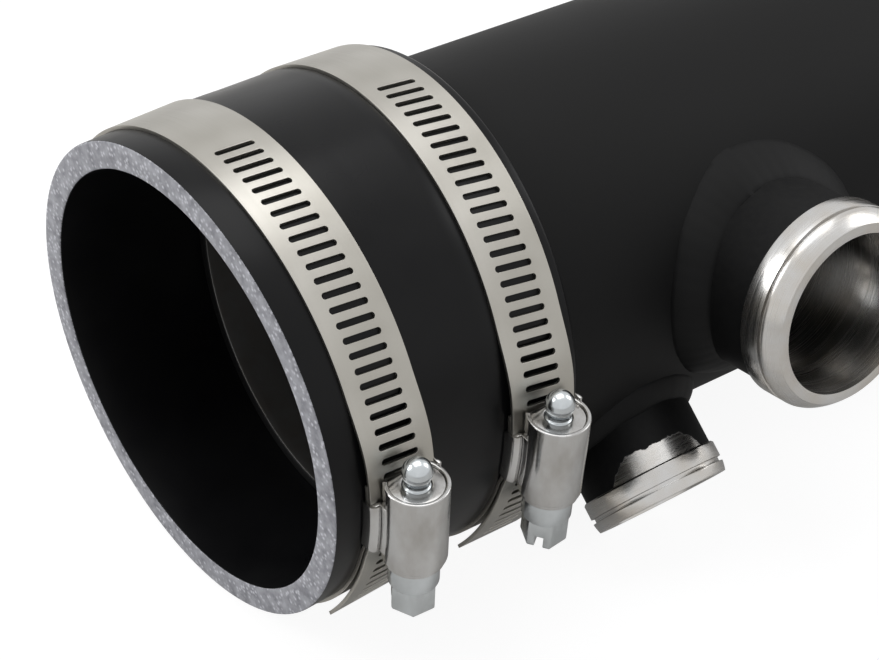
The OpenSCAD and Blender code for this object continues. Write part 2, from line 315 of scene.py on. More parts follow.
def coatShader(tree, shader, vector):
    patches = speckle(tree, vector, coatLook["patches"], 2)
    grain = speckle(tree, vector, coatLook["grain"], 2)
    colour = ramp(tree, patches, (0.3, coatLook["dark"]), (0.7, coatLook["light"]))
    tree.links.new(colour, shader.inputs["Base Color"])
    smoothest = coatLook["roughness"] - coatLook["spread"]
    roughest = coatLook["roughness"] + coatLook["spread"]
    gloss = ramp(tree, patches, (0.25, smoothest), (0.75, roughest))
    tree.links.new(gloss, shader.inputs["Roughness"])
    shader.inputs["Specular IOR Level"].default_value = coatLook["specular"]
    bumped(tree, shader, grain, coatLook["bump"], coatLook["depth"])


def powderCoat():
    material, tree, shader = newMaterial("powderCoat")
    coatShader(tree, shader, ownCoordinates(tree, lying))
    return material


aluminiumLook = {
    "lines": 2600,
    "stains": 160,
    "warm": (1, 0.94, 0.86),
    "pale": 1.12,
    "smoothest": -0.06,    # added to the roughness
    "roughest": 0.08,
}


# Bare aluminium, turned: fine rings that follow the piece's own axis
def turnedAluminium(name, matrix, tone=0.5, roughness=0.24):
    material, tree, shader = newMaterial(name)
    vector = ownCoordinates(tree, matrix)
    split, radius = fromAxis(tree, vector)
    rings = addNode(tree, "ShaderNodeCombineXYZ", {"X": radius, "Z": split.outputs["Z"]})
    lines = speckle(tree, rings.outputs["Vector"], aluminiumLook["lines"], 4, 0.7)
    stains = speckle(tree, vector, aluminiumLook["stains"], 3)
    warm = tuple(tone * part for part in aluminiumLook["warm"])
    colour = ramp(tree, stains, (0.3, warm), (0.7, tone * aluminiumLook["pale"]))
    tree.links.new(colour, shader.inputs["Base Color"])
    gloss = ramp(tree, lines, (0.3, roughness + aluminiumLook["smoothest"]),
                 (0.7, roughness + aluminiumLook["roughest"]))
    tree.links.new(gloss, shader.inputs["Roughness"])
    shader.inputs["Metallic"].default_value = 1
    bumped(tree, shader, lines, 0.25, 0.01 * mm)
    return material, tree, shader


rubberLook = {
    "dark": (0.0032, 0.0032, 0.0038),
    "light": (0.0058, 0.0058, 0.0062),
    "smoothest": 0.25,
    "roughest": 0.36,
    "specular": 0.16,
    "patches": 45,
    "grain": 1500,
}


def couplerRubber():
    material, tree, shader = newMaterial("couplerRubber")
    vector = ownCoordinates(tree, lying)
    patches = speckle(tree, vector, rubberLook["patches"], 3)
    grain = speckle(tree, vector, rubberLook["grain"], 2)
    colour = ramp(tree, patches, (0.3, rubberLook["dark"]), (0.7, rubberLook["light"]))
    tree.links.new(colour, shader.inputs["Base Color"])
    gloss = ramp(tree, patches, (0.3, rubberLook["smoothest"]), (0.7, rubberLook["roughest"]))
    tree.links.new(gloss, shader.inputs["Roughness"])
    shader.inputs["Specular IOR Level"].default_value = rubberLook["specular"]
    bumped(tree, shader, grain, 0.2, 0.02 * mm)
    return material


fabricLook = {
    "tufts": 1000,
    "tuft": (0.62, 0.62, 0.66, 1),
    "broad": 420,
    "dark": (0.2, 0.2, 0.22),
    "light": (0.42, 0.42, 0.45),
    "roughness": 0.6,
    "depth": 0.1 * mm,
}


# The cut end of the hose: grey rubber with the white ends of its reinforcing fibres
def cutFabric(matrix):
    material, tree, shader = newMaterial("cutFabric")
    vector = ownCoordinates(tree, matrix)
    threads = addNode(tree, "ShaderNodeTexVoronoi", {
        "Vector": vector, "Scale": fabricLook["tufts"], "Randomness": 1.0})
    tufts = ramp(tree, threads.outputs["Distance"], (0.12, 1.0), (0.42, 0.0))
    broad = speckle(tree, vector, fabricLook["broad"], 3)
    base = ramp(tree, broad, (0.3, fabricLook["dark"]), (0.7, fabricLook["light"]))
    mix = addNode(tree, "ShaderNodeMix", {"Factor": tufts, "A": base, "B": fabricLook["tuft"]},
                  data_type="RGBA")
    tree.links.new(mix.outputs["Result"], shader.inputs["Base Color"])
    shader.inputs["Roughness"].default_value = fabricLook["roughness"]
    bumped(tree, shader, broad, 0.5, fabricLook["depth"])
    return material


stripLook = {
    "grain": (3200, 60, 60),     # across the band, along it and out of it
    "broad": 70,
    "dark": (0.37, 0.355, 0.32),
    "light": (0.46, 0.445, 0.41),
    "smoothest": 0.3,
    "roughest": 0.38,
    "depth": 0.01 * mm,
}


# Rolled steel strip, its grain along the band
def bandSteel(name, matrix):
    material, tree, shader = newMaterial(name)
    vector = ownCoordinates(tree, matrix)
    grain = speckle(tree, stretched(tree, vector, stripLook["grain"]), 1, 3)
    broad = speckle(tree, vector, stripLook["broad"], 2)
    colour = ramp(tree, broad, (0.3, stripLook["dark"]), (0.7, stripLook["light"]))
    tree.links.new(colour, shader.inputs["Base Color"])
    gloss = ramp(tree, grain, (0.3, stripLook["smoothest"]), (0.7, stripLook["roughest"]))
    tree.links.new(gloss, shader.inputs["Roughness"])
    shader.inputs["Metallic"].default_value = 1
    bumped(tree, shader, grain, 0.12, stripLook["depth"])
    return material


plateLook = {
    "dark": (0.36, 0.35, 0.335),
    "light": (0.5, 0.5, 0.5),
    "roughness": 0.15,
}
zincLook = {
    "dark": (0.42, 0.44, 0.45),
    "light": (0.56, 0.59, 0.61),
    "roughness": 0.2,
}
platedLook = {
    "blotches": (260, 110, 260),
    "fine": 1400,
    "smoothest": -0.04,       # added to the roughness
    "roughest": 0.06,
    "depth": 0.05 * mm,
}


def platedSteel(name, matrix, look):
    material, tree, shader = newMaterial(name)
    vector = ownCoordinates(tree, matrix)
    blotches = speckle(tree, stretched(tree, vector, platedLook["blotches"]), 1, 3)
    fine = speckle(tree, vector, platedLook["fine"], 3)
    colour = ramp(tree, blotches, (0.3, look["dark"]), (0.7, look["light"]))
    tree.links.new(colour, shader.inputs["Base Color"])
    gloss = ramp(tree, fine, (0.3, look["roughness"] + platedLook["smoothest"]),
                 (0.7, look["roughness"] + platedLook["roughest"]))
    tree.links.new(gloss, shader.inputs["Roughness"])
    shader.inputs["Metallic"].default_value = 1
    bumped(tree, shader, blotches, 0.12, platedLook["depth"])
    return material


coat = powderCoat()
rubber = couplerRubber()
print("materials made")


# Main pipe
pipe = {
    "radius": 38 * mm,
    "coat": 0.1 * mm,
    "wall": 2 * mm,
    "length": 200 * mm,
    "edge": 0.4 * mm,
    "seat": 45 * mm,                  # left bare for a hose
    "coatEdge": 2 * mm,
    "rings": (100 * mm, 140 * mm),    # keep long faces away from the holes
    "upperHole": 15.3 * mm,
    "lowerHole": 10.9 * mm,
    "holeTo": 70 * mm,
    "insideTone": 0.16,
    "insideRoughness": 0.4,
}


def mainPipe():
    outer = pipe["radius"]
    inner = outer - pipe["wall"]
    coated = outer + pipe["coat"]
    low, high = pipe["rings"]
    obj = turned("mainPipe", [
        (inner, 0), (outer, 0), (outer, pipe["seat"]), (coated, pipe["seat"] + pipe["coatEdge"]),
        (coated, low), (coated, high), (coated, pipe["length"]), (inner, pipe["length"]),
        (inner, high), (inner, low), (inner, 0)], 192)
    bevel(obj, pipe["edge"], 3, 60)
    place(obj, zToX)
    depth = pipe["holeTo"] - 10 * mm
    for x, angle, hole in ((layout["upperX"], layout["upperAngle"], pipe["upperHole"]),
                           (layout["lowerX"], layout["lowerAngle"], pipe["lowerHole"])):
        bpy.ops.object.select_all(action="DESELECT")
        bpy.ops.mesh.primitive_cylinder_add(vertices=128, radius=hole, depth=depth,
                                            location=(0, 0, pipe["holeTo"] - depth / 2))
        cutter = bpy.context.object
        bpy.ops.object.transform_apply(location=True)
        place(cutter, alongPipe(x) @ around(angle))
        cutAway(obj, cutter)
    smooth(obj)
    place(obj, lying)
    finished(obj, "pipe_assembly", "black_coat", coat, "main_pipe")
    bare = turnedAluminium("bareInside", lying @ zToX, pipe["insideTone"], pipe["insideRoughness"])[0]
    obj.data.materials.append(bare)
    axis = (lying @ Vector((1, 0, 0))).normalized()
    for face in obj.data.polygons:
        radial = face.center - axis * face.center.dot(axis)
        inside = radial.length < inner + pipe["coat"]
        if inside or face.center.dot(axis) < pipe["seat"]:
            face.material_index = 1


mainPipe()
print("pipe made")


# Outlets, and the beads that weld them on
upper = {
    "bore": 14.8 * mm,
    "neck": 17.5 * mm,
    "reach": 59.1 * mm,
    "ring": 18.5 * mm,
    "ringWidth": 8.2 * mm,
    "chamfer": 1.9 * mm,
    "weldLeg": 4.6 * mm,
}
lower = {
    "bore": 10.4 * mm,
    "neck": 12.4 * mm,
    "reach": 54.2 * mm,
    "ring": 13.0 * mm,
    "ringWidth": 5.8 * mm,
    "chamfer": 0.4 * mm,
    "weldLeg": 2.6 * mm,
}
weld = {
    "roundness": 1.2,
    "sink": 0.8 * mm,
    "steps": 8,
    "ripple": 0.012,
    "wander": 0.12,
}
ring = {
    "grooveWidth": 0.9 * mm,
    "grooveDepth": 0.6 * mm,
    "grooveAt": 0.6,          # share of the ring's width
    "crownSteps": 6,
    "crownPower": 1.4,
    "root": 30 * mm,          # the neck begins inside the pipe
    "sink": 1 * mm,           # and is cut off within its wall
    "edge": 0.12 * mm,
    "boreMargin": 0.4 * mm,   # how far the bore's bare metal is taken round its edge
    "coatFade": 0.15 * mm,
}


def outlet(name, size, matrix, material, node):
    back = size["reach"] - size["ringWidth"]
    groove = back + size["ringWidth"] * ring["grooveAt"]
    halfGroove = ring["grooveWidth"] / 2
    floor = size["ring"] - ring["grooveDepth"]
    backEdge = (size["ring"] - size["neck"]) / 2
    front = size["reach"] - groove - halfGroove
    crown = []
    for i in range(1, ring["crownSteps"] + 1):
        share = i / ring["crownSteps"]
        crown.append((size["ring"] - size["chamfer"] * share ** ring["crownPower"],
                      groove + halfGroove + front * share))
    obj = turned(name, [
        (size["bore"], ring["root"]), (size["neck"], ring["root"]), (size["neck"], back),
        (size["ring"] - backEdge, back), (size["ring"], back + backEdge),
        (size["ring"], groove - halfGroove), (floor, groove - halfGroove * 0.8),
        (floor, groove + halfGroove * 0.8), (size["ring"], groove + halfGroove),
        *crown, (size["bore"], size["reach"]), (size["bore"], ring["root"])], 160)
    bpy.ops.object.select_all(action="DESELECT")
    bpy.ops.mesh.primitive_cylinder_add(vertices=256, radius=pipe["radius"] - ring["sink"],
                                        depth=120 * mm, rotation=(0, math.radians(90), 0))
    cutAway(obj, bpy.context.object)
    bevel(obj, ring["edge"], 2, 25)
    smooth(obj)
    place(obj, matrix)
    return finished(obj, "pipe_assembly", "machined_aluminium", material, node)


# A soft fillet of weld metal that follows the pipe round the neck
def weldBead(name, size, matrix, ripples, node):
    leg = size["weldLeg"]
    inside = -weld["roundness"] * leg
    arc = math.hypot(leg - inside, inside)
    first = math.asin(-inside / arc)
    last = math.pi / 2 - first
    steps = [(size["neck"] - weld["sink"], -weld["sink"]), (size["neck"] + leg, -weld["sink"])]
    for i in range(weld["steps"] + 1):
        angle = first + (last - first) * i / weld["steps"]
        steps.append((size["neck"] + inside + arc * math.cos(angle), inside + arc * math.sin(angle)))
    steps += [(size["neck"] - weld["sink"], leg), steps[0]]
    obj = turned(name, steps, ripples * 6)
    pipeRadius = pipe["radius"] + pipe["coat"]
    for vert in obj.data.vertices:
        angle = math.atan2(vert.co.y, vert.co.x)
        radius = math.hypot(vert.co.x, vert.co.y)
        height = vert.co.z
        if height > -weld["sink"] / 2 and radius > size["neck"] - weld["sink"] / 2:
            wander = noise.noise(Vector((math.cos(angle), math.sin(angle), 3.1)) * 2.2)
            wave = math.sin(math.pi * ((angle * ripples / math.tau) % 1))
            swell = 1 + weld["ripple"] * wave + weld["wander"] * wander
            radius = size["neck"] + (radius - size["neck"]) * swell
            height = height * swell
        height += math.sqrt(pipeRadius ** 2 - (radius * math.sin(angle)) ** 2)
        vert.co = (radius * math.cos(angle), radius * math.sin(angle), height)
    smooth(obj, 50)
    place(obj, matrix)
    return finished(obj, "pipe_assembly", "black_coat", coat, node)


# The coat covers the neck up to the ring, or leaves a ragged bare patch behind it
def coatedAluminium(name, matrix, size, patch=None):
    material, tree, shader = turnedAluminium(name, matrix)
    vector = ownCoordinates(tree, matrix)
    split, radius = fromAxis(tree, vector)
    inBore = addNode(tree, "ShaderNodeMath", {0: radius, 1: size["bore"] + ring["boreMargin"]},
                     operation="LESS_THAN")
    edge = size["reach"] - size["ringWidth"]
    limit = edge
    if patch:
        turn = addNode(tree, "ShaderNodeMath", {0: split.outputs["Y"], 1: split.outputs["X"]},
                       operation="ARCTAN2")
        away = addNode(tree, "ShaderNodeMath", {0: turn.outputs[0], 1: patch["middle"]},
                       operation="SUBTRACT")
        share = addNode(tree, "ShaderNodeMath", {0: away.outputs[0], 1: patch["half"]},
                        operation="DIVIDE")
        steep = addNode(tree, "ShaderNodeMath", {0: share.outputs[0], 1: 4.0}, operation="POWER")
        rise = addNode(tree, "ShaderNodeMath", {0: steep.outputs[0], 1: patch["rise"], 2: patch["from"]},
                       operation="MULTIPLY_ADD")
        ragged = addNode(tree, "ShaderNodeMath", {
            0: speckle(tree, vector, patch["scale"], 3), 1: patch["ragged"], 2: rise.outputs[0]},
            operation="MULTIPLY_ADD")
        nearest = addNode(tree, "ShaderNodeMath", {0: ragged.outputs[0], 1: edge}, operation="MINIMUM")
        limit = nearest.outputs[0]
    above = addNode(tree, "ShaderNodeMath", {0: split.outputs["Z"], 1: limit}, operation="SUBTRACT")
    past = addNode(tree, "ShaderNodeMapRange", {"Value": above.outputs[0], "From Min": 0,
                                                "From Max": ring["coatFade"]})
    bare = addNode(tree, "ShaderNodeMath", {0: past.outputs["Result"], 1: inBore.outputs[0]},
                   operation="MAXIMUM")
    metalColour = shader.inputs["Base Color"].links[0].from_socket
    metalGloss = shader.inputs["Roughness"].links[0].from_socket
    grain = speckle(tree, vector, coatLook["grain"], 2)
    black = ramp(tree, grain, (0.3, coatLook["dark"]), (0.7, coatLook["light"]))
    colour = addNode(tree, "ShaderNodeMix", {"Factor": bare.outputs[0]}, data_type="RGBA")
    tree.links.new(black, colour.inputs[6])
    tree.links.new(metalColour, colour.inputs[7])
    gloss = addNode(tree, "ShaderNodeMix", {
        "Factor": bare.outputs[0], "A": coatLook["roughness"], "B": metalGloss})
    tree.links.new(colour.outputs[2], shader.inputs["Base Color"])
    tree.links.new(gloss.outputs[0], shader.inputs["Roughness"])
    tree.links.new(bare.outputs[0], shader.inputs["Metallic"])
    shader.inputs["Specular IOR Level"].default_value = coatLook["specular"]
    return material


barePatch = {
    "middle": math.radians(-70),   # round the lower neck
    "half": math.radians(45),
    "from": 42.6 * mm,             # along the outlet's axis
    "rise": 4.0 * mm,
    "ragged": 3.4 * mm,
    "scale": 260,
}
outlet("upperOutlet", upper, atUpperOutlet,
       coatedAluminium("upperAluminium", atUpperOutlet, upper), "upper_outlet")
outlet("lowerOutlet", lower, atLowerOutlet,
       coatedAluminium("lowerAluminium", atLowerOutlet, lower, barePatch), "lower_outlet")
weldBead("upperWeld", upper, atUpperOutlet, 46, "upper_weld")
weldBead("lowerWeld", lower, atLowerOutlet, 34, "lower_weld")
print("outlets made")


# Coupler hose
hose = {
    "radius": 43 * mm,
    "bore": 38.1 * mm,
    "rear": 176.5 * mm,
    "mouth": 227.2 * mm,
    "bendLength": 8 * mm,
    "bendSteps": 6,
    "rearEdge": 0.7 * mm,
    "mouthEdge": 0.35 * mm,
    "squeeze": 0.22 * mm,      # the rubber swells between the bands
    "swellFrom": 1.2 * mm,
    "swellTo": 3 * mm,
    "bandHalf": 6.35 * mm,
    "endDepth": 3 * mm,        # how far back from the mouth the cut face is looked for
}


def couplerHose():
    start = hose["rear"]
    end = hose["mouth"]
    bulge = hose["radius"] + hose["squeeze"]
    radius = hose["radius"]
    rearBand = layout["rearClampX"]
    frontBand = layout["frontClampX"]
    half = hose["bandHalf"]
    steps = [(hose["bore"], start), (radius, start)]
    steps += [(radius, rearBand - half), (radius, rearBand + half)]
    steps += [(bulge, rearBand + half + hose["swellFrom"]), (bulge, rearBand + half + hose["swellTo"])]
    bendFrom = layout["bendX"] - hose["bendLength"] / 2
    bendStep = hose["bendLength"] / hose["bendSteps"]
    steps += [(radius, bendFrom + i * bendStep) for i in range(hose["bendSteps"] + 1)]
    steps += [(radius, frontBand + half), (radius, end), (hose["bore"], end)]
    steps += [(hose["bore"], bendFrom + i * bendStep) for i in range(hose["bendSteps"], -1, -1)]
    steps += [(hose["bore"], start)]
    obj = turned("couplerHose", steps, 192)
    pickEdges(obj, lambda a, b: abs(a.z - start) < 0.01 * mm and abs(b.z - start) < 0.01 * mm
              and min(a.xy.length, b.xy.length) > radius - 1 * mm)
    bpy.ops.mesh.bevel(offset=hose["rearEdge"], segments=4, affect="EDGES")
    pickEdges(obj, lambda a, b: abs(a.z - end) < 0.01 * mm and abs(b.z - end) < 0.01 * mm
              and abs(a.xy.length - b.xy.length) < 0.01 * mm)
    bpy.ops.mesh.bevel(offset=hose["mouthEdge"], segments=3, affect="EDGES")
    place(obj, around(-layout["droopAngle"]) @ zToX)
    turn = layout["droop"] / hose["bendSteps"]
    for i in range(hose["bendSteps"]):
        line = bendFrom + (i + 0.5) * bendStep
        pickVerts(obj, lambda co: co.x > line - 0.3 * bendStep * min(i, 1))
        bpy.ops.transform.rotate(value=turn, orient_axis="Y", center_override=(line, 0, 0))
    objectMode()
    place(obj, around(layout["droopAngle"]))
    smooth(obj)
    return obj


hosePiece = couplerHose()
fabric = cutFabric(lying @ hanging @ alongPipe(hose["mouth"]) @ zToX)
mouthAxis = (hanging.to_3x3() @ Vector((1, 0, 0))).normalized()
mouthPlane = (hanging @ Vector((hose["mouth"], 0, 0))).dot(mouthAxis)
endFaces = [face.index for face in hosePiece.data.polygons
            if face.normal.dot(mouthAxis) > 0.6 and face.center.dot(mouthAxis) > mouthPlane - hose["endDepth"]]
place(hosePiece, lying)
finished(hosePiece, "pipe_assembly", "coupler_rubber", rubber, "coupler_hose")
hosePiece.data.materials.append(fabric)
for index in endFaces:
    hosePiece.data.polygons[index].material_index = 1
print("hose made, end faces", len(endFaces))


# Clamp bands: one slotted cell is repeated, the plain ends are extruded, then the strip is wrapped
band = {
    "width": 12.7 * mm,
    "thick": 0.65 * mm,
    "hoseRadius": 43 * mm,
    "slotPitch": 2.54 * mm,
    "slotWidth": 1.1 * mm,
    "slotLength": 7 * mm,
    "slant": math.radians(6.6),
    "start": math.radians(-9),
    "end": math.radians(402),
    "edge": 0.06 * mm,
    "saddle": 0.5 * mm,
    "layerGap": 0.05 * mm,
    "settle": 0.28 * mm,       # the outer layer comes down past the housing
    "flare": 0.0016 * mm,      # and its tail leaves the hose by this, times degrees squared
    "overSaddle": (7.5, 11.5),
    "climb": (330, 348),
    "comeDown": (368.2, 371.8),
    "plainTail": 3,            # degrees without slots
    "cellCuts": 4,
    "extrude": 1.1 * mm,
}
bandTurn = band["hoseRadius"] + band["thick"]     # the slots' pitch is measured here


def easeBetween(angle, start, stop):
    t = max(0, min(1, (math.degrees(angle) - start) / (stop - start)))
    return t * t * (3 - 2 * t)


# Inner radius of the band, an angle past the middle of the housing
def bandRadius(angle):
    fixedEnd = band["hoseRadius"] + band["saddle"]
    freeEnd = fixedEnd + band["thick"] + band["layerGap"]
    degrees = math.degrees(angle)
    if degrees < band["climb"][0]:
        return fixedEnd - band["saddle"] * easeBetween(angle, *band["overSaddle"])
    tail = max(0, degrees - band["comeDown"][1])
    risen = (freeEnd - band["hoseRadius"]) * easeBetween(angle, *band["climb"])
    settled = band["settle"] * easeBetween(angle, *band["comeDown"])
    return band["hoseRadius"] + risen - settled + band["flare"] * tail * tail


def slotCutter():
    half = (band["slotLength"] - band["slotWidth"]) / 2
    bpy.ops.object.select_all(action="DESELECT")
    bpy.ops.mesh.primitive_cylinder_add(vertices=24, radius=band["slotWidth"] / 2, depth=4 * mm)
    cutter = bpy.context.object
    pickVerts(cutter, lambda co: co.x > 0.001 * mm)
    bpy.ops.transform.translate(value=(half, 0, 0))
    pickVerts(cutter, lambda co: co.x < -0.001 * mm)
    bpy.ops.transform.translate(value=(-half, 0, 0))
    objectMode()
    cutter.rotation_euler.z = -band["slant"]
    bpy.ops.object.transform_apply(rotation=True)
    return cutter


# x is across the band, y along it, z out of it
def bandStrip(slotsFrom):
    pitch = band["slotPitch"]
    slotted = math.degrees(band["end"]) - band["plainTail"] - (360 - slotsFrom)
    count = int(slotted / math.degrees(pitch / bandTurn)) + 1
    objectMode()
    bpy.ops.object.select_all(action="DESELECT")
    bpy.ops.mesh.primitive_cube_add(size=1, scale=(band["width"], pitch, band["thick"]),
                                    location=(0, 0, band["thick"] / 2))
    strip = bpy.context.object
    bpy.ops.object.transform_apply(location=True, scale=True)
    for i in range(1, band["cellCuts"]):
        editMode(strip)
        bpy.ops.mesh.bisect(plane_co=(0, pitch * (i / band["cellCuts"] - 0.5), 0), plane_no=(0, 1, 0))
    objectMode()
    cutAway(strip, slotCutter())
    pickFaces(strip, lambda middle, normal: abs(normal.y) > 0.99
              and abs(abs(middle.y) - pitch / 2) < 0.01 * mm)
    bpy.ops.mesh.delete(type="FACE")
    modify(strip, "ARRAY", count=count, use_relative_offset=False, use_constant_offset=True,
           constant_offset_displace=(0, pitch, 0), use_merge_vertices=True, merge_threshold=0.005 * mm)
    firstSlot = math.radians(360 - slotsFrom) * bandTurn
    place(strip, Matrix.Translation((0, firstSlot, 0)))
    low = firstSlot - pitch / 2
    high = firstSlot + (count - 0.5) * pitch
    for edge, goal in ((low, band["start"] * bandTurn), (high, band["end"] * bandTurn)):
        steps = max(2, int(abs(goal - edge) / band["extrude"]))
        pickEdges(strip, lambda a, b: abs(a.y - edge) < 0.01 * mm and abs(b.y - edge) < 0.01 * mm)
        for step in range(steps):
            bpy.ops.mesh.extrude_region_move(
                TRANSFORM_OT_translate={"value": (0, (goal - edge) / steps, 0)})
        bpy.ops.mesh.edge_face_add()
        objectMode()
    tidy(strip)
    return strip


def wrapped(strip):
    for vert in strip.data.vertices:
        angle = vert.co.y / bandTurn
        radius = bandRadius(angle) + vert.co.z
        vert.co = (vert.co.x, radius * math.sin(angle), radius * math.cos(angle))
    strip.data.update()


def clampBand(name, slotsFrom, matrix, node):
    strip = bandStrip(slotsFrom)
    strip.name = name
    bevel(strip, band["edge"], 2, 50)
    wrapped(strip)
    tidy(strip)
    smooth(strip, 40)
    modify(strip, "WEIGHTED_NORMAL", keep_sharp=True, weight=50)
    place(strip, matrix)
    return finished(strip, "pipe_assembly", "band_steel", bandSteel(name + "Steel", matrix), node)


clampBand("frontBand", 89.6, atFrontClamp, "front_clamp_band")
clampBand("rearBand", 90.6, atRearClamp, "rear_clamp_band")
print("bands made")


# Clamp housing, saddle and screw, drawn in the clamp's own frame: y runs along the screw
def drawnLine(name, points):
    objectMode()
    bpy.ops.object.select_all(action="DESELECT")
    bpy.ops.mesh.primitive_plane_add(size=mm, location=points[0])
    obj = bpy.context.object
    obj.name = name
    bpy.ops.object.transform_apply(location=True)
    editMode(obj)
    bpy.ops.mesh.merge(type="CENTER")
    for here, there in zip(points, points[1:]):
        shift = Vector(there) - Vector(here)
        bpy.ops.mesh.extrude_vertices_move(TRANSFORM_OT_translate={"value": shift})
    return obj


def roundCorner(obj, corner, radius):
    pickVerts(obj, lambda co: (co - Vector(corner)).length < 0.01 * mm)
    bpy.ops.mesh.bevel(offset=radius, segments=5, affect="VERTICES")


# A drawn section is spun about the hose's axis and given its sheet
def spunSheet(obj, sheet, edge):
    place(obj, Matrix.Rotation(clamp["arc"] / 2 - clamp["shift"], 4, "X"))
    editMode(obj)
    bpy.ops.mesh.spin(steps=clamp["steps"], angle=clamp["arc"], center=(0, 0, 0), axis=(1, 0, 0))
    tidy(obj)
    modify(obj, "SOLIDIFY", thickness=sheet, offset=0, use_even_offset=True)
    bevel(obj, edge, 2, 50)
    return obj


clamp = {
    "arc": math.radians(12.4),
    "shift": math.radians(1.2),
    "steps": 10,
    "barrel": 5.4 * mm,
    "half": 7.9 * mm,
    "sheet": 0.8 * mm,
    "rim": 0.3 * mm,
    "lip": 1.0 * mm,
    "recess": 0.4 * mm,
    "tipHole": 2.4 * mm,
    "headHole": 2.55 * mm,
    "footZ": 44.9 * mm,
    "footReach": 6.35 * mm,
    "saddleSheet": 0.5 * mm,
    "saddleHalf": 6.9 * mm,
    "saddleLow": 43.0 * mm,
    "saddleHigh": 46.25 * mm,
    "curlEnd": 5.5 * mm,
    "curl": 0.95 * mm,
    "saddleEdge": 0.08 * mm,
    "footBend": 0.45 * mm,
    "footEdge": 0.15 * mm,
    "legTop": 0.5 * mm,        # a foot's leg ends this far below the screw's axis
    "wallGap": 0.06 * mm,
    "tipEdge": 0.12 * mm,
    "headEdge": 0.3 * mm,
}
tab = {
    "size": (0.55 * mm, 2.6 * mm, 1.5 * mm),
    "side": -5.12 * mm,
    "out": 0.6 * mm,
    "down": 1.4 * mm,
    "edge": 0.12 * mm,
}


def saddle():
    sheet = clamp["saddleSheet"]
    side = clamp["saddleHalf"] - sheet / 2
    low = clamp["saddleLow"] + sheet / 2
    high = clamp["saddleHigh"] - sheet / 2
    end = clamp["curlEnd"]
    obj = drawnLine("saddle", [(-end, 0, high), (-side, 0, high), (-side, 0, low),
                               (side, 0, low), (side, 0, high), (end, 0, high)])
    for x in (-side, side):
        roundCorner(obj, (x, 0, high), clamp["curl"])
        roundCorner(obj, (x, 0, low), sheet / 2)
    return spunSheet(obj, sheet, clamp["saddleEdge"])


def ontoScrewLine(obj):
    return place(obj, Matrix.Translation((0, 0, layout["screwZ"])) @ zToScrew)


def cutBelowFeet(obj):
    editMode(obj)
    bpy.ops.mesh.bisect(plane_co=(0, 0, clamp["footZ"]), plane_no=(0, 0, 1),
                        use_fill=True, clear_inner=True)
    objectMode()


def endWall(name, outer, hole, start, stop, edge):
    obj = turned(name, [(hole, start), (outer, start), (outer, stop), (hole, stop), (hole, start)])
    ontoScrewLine(obj)
    cutBelowFeet(obj)
    bevel(obj, edge, 3, 50)
    return obj


def housingFoot(side):
    sheet = clamp["sheet"]
    leg = (clamp["barrel"] - sheet / 2) * side
    low = clamp["footZ"] + sheet / 2
    obj = drawnLine("foot", [(leg, 0, layout["screwZ"] - clamp["legTop"]), (leg, 0, low),
                             (clamp["footReach"] * side, 0, low)])
    roundCorner(obj, (leg, 0, low), clamp["footBend"])
    return spunSheet(obj, sheet, clamp["footEdge"])


def housing():
    sheet = clamp["sheet"]
    half = clamp["half"]
    middle = clamp["barrel"] - sheet / 2
    objectMode()
    bpy.ops.object.select_all(action="DESELECT")
    bpy.ops.mesh.primitive_circle_add(vertices=120, radius=middle, location=(0, -half, layout["screwZ"]),
                                      rotation=(math.radians(90), 0, 0))
    barrel = bpy.context.object
    bpy.ops.object.transform_apply(location=True, rotation=True)
    pickVerts(barrel, lambda co: co.z < clamp["footZ"])
    bpy.ops.mesh.delete(type="VERT")
    editMode(barrel)
    bpy.ops.mesh.extrude_region_move(TRANSFORM_OT_translate={"value": (0, 2 * half, 0)})
    tidy(barrel)
    modify(barrel, "SOLIDIFY", thickness=sheet, offset=0, use_even_offset=True)
    bevel(barrel, clamp["rim"], 4, 50)
    inner = clamp["barrel"] - sheet - clamp["wallGap"]
    tipFrom = -half + clamp["recess"]
    tipWall = endWall("tipWall", inner, clamp["tipHole"], tipFrom, tipFrom + sheet, clamp["tipEdge"])
    headWall = endWall("headWall", middle, clamp["headHole"], half - sheet, half + clamp["lip"],
                       clamp["headEdge"])
    bpy.ops.object.select_all(action="DESELECT")
    bpy.ops.mesh.primitive_cube_add(size=1, scale=tab["size"], location=(
        tab["side"], tab["out"] - half, layout["screwZ"] - tab["down"]))
    smallTab = bpy.context.object
    bpy.ops.object.transform_apply(location=True, scale=True)
    bevel(smallTab, tab["edge"], 2)
    return joined("housing", barrel, tipWall, headWall, housingFoot(-1), housingFoot(1), smallTab)


screw = {
    "ball": 2.5 * mm,
    "tip": -12.6 * mm,
    "neck": 1.9 * mm,
    "tipJournal": 2.35 * mm,
    "worm": 3.1 * mm,
    "headJournal": 2.5 * mm,
    "neckTo": 0.3 * mm,          # these four are from the housing's tip end
    "tipJournalFrom": 0.45 * mm,
    "tipJournalTo": 1.3 * mm,
    "wormFrom": 1.5 * mm,
    "wormTo": 1 * mm,            # these two from its head end
    "headJournalFrom": 0.9 * mm,
    "axis": 0.001 * mm,          # a turned piece closes at this radius
    "shankEdge": 0.22 * mm,
    "collar": 4.25 * mm,
    "collarFrom": 8.95 * mm,
    "headFrom": 13.55 * mm,
    "headTo": 19.15 * mm,
    "flats": 7 * mm,
    "chamfer": 0.45 * mm,
    "slotWidth": 1.5 * mm,
    "slotDepth": 2.4 * mm,
    "edge": 0.12 * mm,
}


